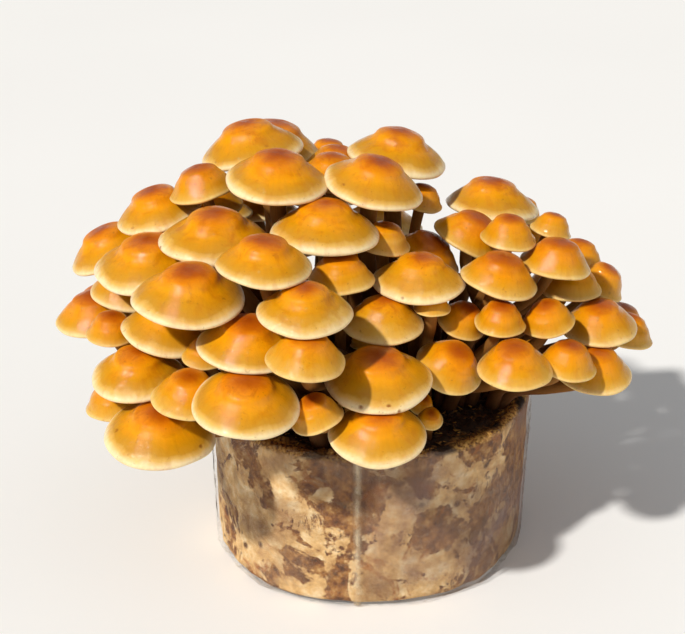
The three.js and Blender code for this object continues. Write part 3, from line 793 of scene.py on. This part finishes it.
def build_block():
    """The growing block: mycelium-bound sides and a dark crumbly top with loose chips."""
    outline = outline_of("substrate_block")
    angle = np.linspace(-np.pi, np.pi, BLOCK_SEGMENTS, endpoint=False)
    across, back = np.cos(angle), np.sin(angle)
    height = block_high[2] - block_low[2]
    widest = outline(angle)
    rows = []
    for share in np.linspace(0, 1, BLOCK_SIDE_ROWS):
        level = block_low[2] + share * height
        taper = 1 + TAPER * (2 * share - 1)
        inset = edge_inset(min(share, 1 - share) * height)
        pits = ripple(across * WAVE_RADIUS, back * WAVE_RADIUS, level, **PITS)
        radius = widest * taper - inset - SIDE_INSET + PIT_DEPTH * pits
        rows.append(np.stack([radius * across, radius * back, np.full_like(angle, level)], axis=1))
    for share in np.linspace(*TOP_SHARES, BLOCK_TOP_ROWS):
        x = share * widest * across
        y = share * widest * back
        bumps = 0.45 * ripple(x, y, 0, **CRUMBS) + 0.6 * ripple(x, y, 0, **LUMPS)
        edge = min(1.0, (1 - share) / TOP_EDGE)
        level = block_top - TOP_DROP + edge * bumps * TOP_ROUGHNESS
        rows.append(np.stack([x, y, level], axis=1))
    ends = np.array([[0, 0, block_low[2]], [0, 0, rows[-1][:, 2].mean()]])
    surface = Surface(("chip",))
    surface.add(np.vstack(rows + [ends]), closed_faces(len(rows), BLOCK_SEGMENTS))
    add_chips(surface, outline)
    return surface


CHIP_COUNT = 2200
CHIP_INSET = 2.2 * MM
CHIP_DROP = 0.55 * MM
CHIP_PITCH = 0.3

# Chips are more golden at the edge of the block. A lower power makes more of them golden.
RIM_SHARE = 0.93
RIM_GOLD = 0.45
INNER_GOLD = 1.4

CHIP_CORNERS = np.array(
    [
        [-1, -1, -1],
        [1, -1, -1],
        [1, 1, -1],
        [-1, 1, -1],
        [-1, -1, 1],
        [1, -1, 1],
        [1, 1, 1],
        [-1, 1, 1],
    ]
)
CHIP_FACES = [(3, 2, 1, 0), (4, 5, 6, 7), (0, 1, 5, 4), (1, 2, 6, 5), (2, 3, 7, 6), (3, 0, 4, 7)]


def add_chips(surface, outline):
    """Loose slivers of sawdust strewn over the top, most of them towards the edge."""
    chips = np.random.default_rng(21)
    for _ in range(CHIP_COUNT):
        angle = chips.uniform(-np.pi, np.pi)
        share = 1 - 0.75 * chips.uniform(0, 1) ** 1.6
        reach = (outline(angle) - CHIP_INSET) * share
        length = chips.uniform(0.8, 3.2) * MM
        size = np.array([length, chips.uniform(0.25, 0.7) * MM, chips.uniform(0.15, 0.4) * MM])
        corners = CHIP_CORNERS * size / 2 * chips.uniform(0.7, 1.15, (8, 3))
        heading = chips.uniform(0, 2 * np.pi)
        pitch = chips.normal(0, CHIP_PITCH)
        turned = np.array(Matrix.Rotation(heading, 3, "Z") @ Matrix.Rotation(pitch, 3, "Y"))
        centre = [reach * math.cos(angle), reach * math.sin(angle), block_top - CHIP_DROP]
        centre[2] += chips.uniform(-0.2, 0.5) * MM
        golden = chips.uniform(0.15, 1) ** (RIM_GOLD if share > RIM_SHARE else INNER_GOLD)
        surface.add(corners @ turned.T + centre, CHIP_FACES, chip=golden)


WOOD_COLOURS = [
    (0.3, (0.05, 0.016, 0.009)),
    (0.44, (0.17, 0.06, 0.022)),
    (0.56, (0.36, 0.165, 0.05)),
    (0.68, (0.58, 0.35, 0.14)),
]
MYCELIUM_COLOURS = [
    (0.32, (0.45, 0.24, 0.09)),
    (0.5, (0.74, 0.47, 0.2)),
    (0.68, (0.92, 0.74, 0.46)),
]
SOIL_COLOURS = [
    (0.3, (0.008, 0.004, 0.003)),
    (0.55, (0.03, 0.012, 0.005)),
    (0.75, (0.1, 0.04, 0.012)),
]
CRUMB_COLOURS = [
    (0.35, (0.12, 0.04, 0.01)),
    (0.48, (0.5, 0.22, 0.04)),
    (0.6, (0.85, 0.52, 0.14)),
]
CHIP_COLOURS = [
    (0.1, (0.02, 0.008, 0.004)),
    (0.6, (0.09, 0.035, 0.01)),
    (0.85, (0.34, 0.15, 0.03)),
    (1.0, (0.6, 0.33, 0.07)),
]
RUST = (0.36, 0.11, 0.018)
SPOT_BROWN = (0.09, 0.03, 0.012)
DAMP_BROWN = (0.12, 0.045, 0.028)

# Golden crumbs lie in a ring that begins and is full this far in from the block's side.
CRUMBS_BEGIN = 9 * MM
CRUMBS_FULL = 4 * MM

# The dark top begins and is full this far below the CAD top.
SOIL_BEGIN = 2.6 * MM
SOIL_FULL = 1.4 * MM


def block_side(s, axes, coarse, fine):
    """The sides: brown wood under cream mycelium, with rust, dark spots and damp patches, and less
    mycelium towards the right as painted shade.
    """
    wood = s.ramp(fine, WOOD_COLOURS)
    mycelium = s.ramp(s.noise(150, 5, 0.62), MYCELIUM_COLOURS)
    # Painted shade: less mycelium and more dark wood towards the right, the side away from the key
    # light.
    shade_rightward = s.between(axes.outputs["X"], block_low[0], block_high[0])
    edge = s.maths("ADD", coarse, s.times(fine, 0.22))
    edge = s.maths("SUBTRACT", edge, s.times(shade_rightward, 0.1))
    side = s.mix(s.between(edge, 0.54, 0.575), wood, mycelium)
    rust = s.between(s.noise(62, 5, 0.65, distortion=1.4), 0.58, 0.66)
    side = s.mix(s.times(rust, 0.7), side, RUST)
    spots = s.times(s.spots(110, 0.08, 0.2), s.between(coarse, 0.45, 0.55))
    side = s.mix(spots, side, SPOT_BROWN)
    damp = s.between(s.noise(30, 4, 0.6), 0.48, 0.62)
    return s.mix(s.times(damp, 0.6), side, DAMP_BROWN)


def block_soil(s, axes, grain):
    """The top: dark and wet, with golden crumbs in patches along the edge."""
    flat = s.vector(axes.outputs["X"], axes.outputs["Y"], 0.0)
    reach = s.node("ShaderNodeVectorMath", {"Vector": flat}, operation="LENGTH").outputs["Value"]
    near_edge = s.between(reach, block_high[0] - CRUMBS_BEGIN, block_high[0] - CRUMBS_FULL)
    near_edge = s.times(near_edge, s.between(s.noise(70, 4, 0.6), 0.4, 0.52))
    return s.mix(near_edge, s.ramp(grain, SOIL_COLOURS), s.ramp(grain, CRUMB_COLOURS))


def block_material():
    """Sawdust, dark and wet on top, crossed by cream mycelium down the sides."""
    s = Shader("sawdust")
    axes = s.node("ShaderNodeSeparateXYZ", {"Vector": s.position()})
    coarse = s.noise(46, 6, 0.62, distortion=0.9)
    fine = s.noise(240, 5, 0.68)
    grain = s.noise(900, 3, 0.6)
    top = s.between(axes.outputs["Z"], block_top - SOIL_BEGIN, block_top - SOIL_FULL)
    colour = s.mix(top, block_side(s, axes, coarse, fine), block_soil(s, axes, grain))
    chip = s.attribute("chip")
    colour = s.mix(s.between(chip, 0.05, 0.1), colour, s.ramp(chip, CHIP_COLOURS))
    return s.finish(
        Base_Color=colour,
        Roughness=s.between(fine, 0.3, 0.7, 0.65, 0.95),
        Normal=s.bump(s.maths("ADD", grain, fine), 0.6, 0.6 * MM),
    )


FILM_SEGMENTS = 420
FILM_ROWS = 90
FILM_THICKNESS = 0.12 * MM
SEAM_ANGLE = math.radians(-95)
SEAM_WIDTH = 1.1 * MM

# The film stands this far inside the CAD bag, and tucks in over the last part of its height.
FILM_INSET = 0.15 * MM
TUCK = 0.9 * MM
TUCK_START = 0.965

# The rim is torn in long waves and short ones.
RIM_LIFT = 0.6 * MM
RIM_RAGGED = 0.7 * MM
LONG_TEARS = {"seed": 31, "count": 10, "wavelength": 16 * MM}
SHORT_TEARS = {"seed": 32, "count": 8, "wavelength": 5 * MM}

# Creases run where a field of waves crosses zero. The height is multiplied by the stretch
# first, so a lower stretch makes steeper creases.
CREASE_DEPTH = 0.9 * MM
FOLDS = {"seed": 41, "count": 9, "wavelength": 22 * MM}
FOLD_STRETCH = 0.55
WRINKLES = {"seed": 43, "count": 7, "wavelength": 11 * MM}
WRINKLE_STRETCH = 1.4
SEAM_DEPTH = 0.5 * MM


def build_film():
    """The clear bag: folds, creases, a welded seam and a ragged rim, with a real thickness."""
    angle = np.linspace(-np.pi, np.pi, FILM_SEGMENTS, endpoint=False)
    widest = outline_of("film_bag")(angle)
    x, y = np.cos(angle), np.sin(angle)
    wall_x, wall_y = x * WAVE_RADIUS, y * WAVE_RADIUS
    ragged = 0.5 * ripple(wall_x, wall_y, 0, **LONG_TEARS)
    ragged += 0.35 * ripple(wall_x, wall_y, 0, **SHORT_TEARS)
    rim = block_top + RIM_LIFT + RIM_RAGGED * ragged
    from_seam = np.abs((angle - SEAM_ANGLE + np.pi) % (2 * np.pi) - np.pi) * widest
    seam = np.exp(-((from_seam / SEAM_WIDTH) ** 2))

    def radius_at(share):
        height = share * (rim - bag_low[2])
        taper = 1 + TAPER * (2 * share - 1)
        folds = np.abs(ripple(wall_x, wall_y, height * FOLD_STRETCH, **FOLDS))
        wrinkles = np.abs(ripple(wall_x, wall_y, height * WRINKLE_STRETCH, **WRINKLES))
        creases = 0.5 * np.exp(-((folds / 0.22) ** 2)) + 0.28 * np.exp(-((wrinkles / 0.2) ** 2))
        tuck = TUCK * max(0.0, (share - TUCK_START) / (1 - TUCK_START)) ** 2
        outward = CREASE_DEPTH * creases + SEAM_DEPTH * seam
        return widest * taper - FILM_INSET - edge_inset(height) + outward - tuck

    rows = []
    shares = np.linspace(0, 1, FILM_ROWS)
    for share in shares:
        radius = radius_at(share)
        level = bag_low[2] + share * (rim - bag_low[2])
        rows.append(np.stack([radius * x, radius * y, level], axis=1))
    for share in shares[::-1]:
        radius = radius_at(share) - FILM_THICKNESS
        level = bag_low[2] + share * (rim - bag_low[2])
        level = np.maximum(level, bag_low[2] + FILM_THICKNESS)
        rows.append(np.stack([radius * x, radius * y, level], axis=1))
    ends = np.array([[0, 0, bag_low[2]], [0, 0, bag_low[2] + FILM_THICKNESS]])
    surface = Surface(("seam",))
    surface.add(
        np.vstack(rows + [ends]),
        closed_faces(len(rows), FILM_SEGMENTS),
        seam=np.concatenate([np.tile(seam, len(rows)), [0, 0]]),
    )
    return surface


FILM_WARM = (0.6, 0.4, 0.2)
FILM_MILKY = (0.38, 0.24, 0.19)
# The seam's cream is partly the pale weld and partly a painted highlight line down the bag.
SEAM_CREAM_HIGHLIGHT = (0.75, 0.62, 0.42)


def film_material():
    """Clear film, milky where it stands off the block and more so towards the right as painted shade,
    with a paler seam that is also a painted highlight.
    """
    s = Shader("clear_film")
    # Painted shade: the film grows hazier and darker towards the right, the side away from the key
    # light.
    shade_rightward = s.node("ShaderNodeSeparateXYZ", {"Vector": s.position()}).outputs["X"]
    shade_rightward = s.between(shade_rightward, bag_low[0], bag_high[0], -0.06, 0.1)
    haze = s.maths("ADD", s.noise(24, 4, 0.55, distortion=1.0), shade_rightward)
    milky = s.between(haze, 0.45, 0.7)
    creases = s.between(s.noise(85, 5, 0.6, distortion=2.4), 0.54, 0.64)
    # The seam is painted pale and more opaque, partly as the weld and partly as a painted highlight.
    seam = s.times(s.attribute("seam"), s.between(s.noise(160, 3, 0.6), 0.35, 0.6, 0.25, 1.0))
    alpha = s.maths("ADD", s.between(milky, 0, 1, 0.02, 0.2), s.times(creases, 0.1))
    alpha = s.maths("ADD", alpha, s.times(seam, 0.45), clamp=True)
    return s.finish(
        Base_Color=s.mix(seam, s.mix(milky, FILM_WARM, FILM_MILKY), SEAM_CREAM_HIGHLIGHT),
        Alpha=alpha,
        Roughness=s.between(milky, 0, 1, 0.14, 0.34),
        Specular_IOR_Level=0.5,
        Coat_Weight=0.35,
        Coat_Roughness=0.1,
        Normal=s.bump(s.noise(130, 4, 0.6, distortion=1.6), 0.5, 0.8 * MM),
    )


def add_light(kind, name, place, power, colour, **settings):
    """A light at a place, turned towards the middle of the cluster."""
    data = bpy.data.lights.new(name, kind)
    data.energy = power
    data.color = colour
    for setting, value in settings.items():
        setattr(data, setting, value)
    light = bpy.data.objects.new(name, data)
    light.location = place
    direction = Vector(LIT_POINT) - Vector(place)
    light.rotation_euler = direction.to_track_quat("-Z", "Y").to_euler()
    bpy.context.scene.collection.objects.link(light)


FLOOR_REACH = 6.0


def add_floor():
    """A plain pale floor, well past everything in view."""
    mesh = bpy.data.meshes.new("floor")
    corners = [(x * FLOOR_REACH, y * FLOOR_REACH, 0) for x, y in ((-1, -1), (1, -1), (1, 1), (-1, 1))]
    mesh.from_pydata(corners, [], [(0, 1, 2, 3)])
    s = Shader("pale_floor")
    mottle = s.between(s.noise(3, 2), 0.3, 0.7, 0.9, 0.93)
    shade = s.node("ShaderNodeCombineColor", {"Red": mottle, "Green": mottle, "Blue": mottle})
    mesh.materials.append(s.finish(Base_Color=shade.outputs["Color"], Roughness=0.9))
    floor = bpy.data.objects.new("floor", mesh)
    bpy.context.scene.collection.objects.link(floor)


CAMERA_LENS = 100.0
CAMERA_SENSOR = 36.0
CAMERA_DISTANCE = 0.6926
CAMERA_ELEVATION = math.radians(25)
CAMERA_TARGET = Vector((-10.2 * MM, 0.0, 88.7 * MM))


def add_camera():
    """The camera looks along +Y and down, with the whole cluster in view."""
    data = bpy.data.cameras.new("camera")
    data.lens = CAMERA_LENS
    data.sensor_width = CAMERA_SENSOR
    camera = bpy.data.objects.new("camera", data)
    back = Vector((0, -math.cos(CAMERA_ELEVATION), math.sin(CAMERA_ELEVATION)))
    camera.location = CAMERA_TARGET + CAMERA_DISTANCE * back
    camera.rotation_euler = (-back).to_track_quat("-Z", "Y").to_euler()
    bpy.context.scene.collection.objects.link(camera)
    bpy.context.scene.camera = camera


WORLD_STRENGTH = 0.3


def set_world():
    """Even white light from all round, and colours shown as they are."""
    world = bpy.data.worlds.new("studio")
    world.use_nodes = True
    background = world.node_tree.nodes["Background"]
    background.inputs["Color"].default_value = (1.0, 1.0, 1.0, 1.0)
    background.inputs["Strength"].default_value = WORLD_STRENGTH
    bpy.context.scene.world = world
    bpy.context.scene.view_settings.view_transform = "Standard"


LIT_POINT = (-10 * MM, 0.0, 90 * MM)
KEY_PLACE = (-0.6, -0.65, 0.95)
KEY_POWER = 3.2
KEY_COLOUR = (1.0, 0.965, 0.9)
KEY_ANGLE = math.radians(3)
FILL_PLACE = (0.9, -0.5, 0.5)
FILL_POWER = 1.0
FILL_COLOUR = (0.93, 0.95, 1.0)
FILL_SIZE = 0.8

flesh_material = mushroom_material()
grown = grow_mushrooms(flesh_material)

buttons = build_buttons(grown).build("young_buttons", flesh_material)
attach(buttons, "root")

block = build_block().build("block_crumbly", block_material())
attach(block, "root")
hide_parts("substrate_block")

film = build_film().build("film_wrinkled", film_material())
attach(film, "root")
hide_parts("film_bag")

add_floor()
add_camera()
set_world()
add_light("SUN", "key", KEY_PLACE, KEY_POWER, KEY_COLOUR, angle=KEY_ANGLE)
add_light("AREA", "fill", FILL_PLACE, FILL_POWER, FILL_COLOUR, shape="DISK", size=FILL_SIZE)
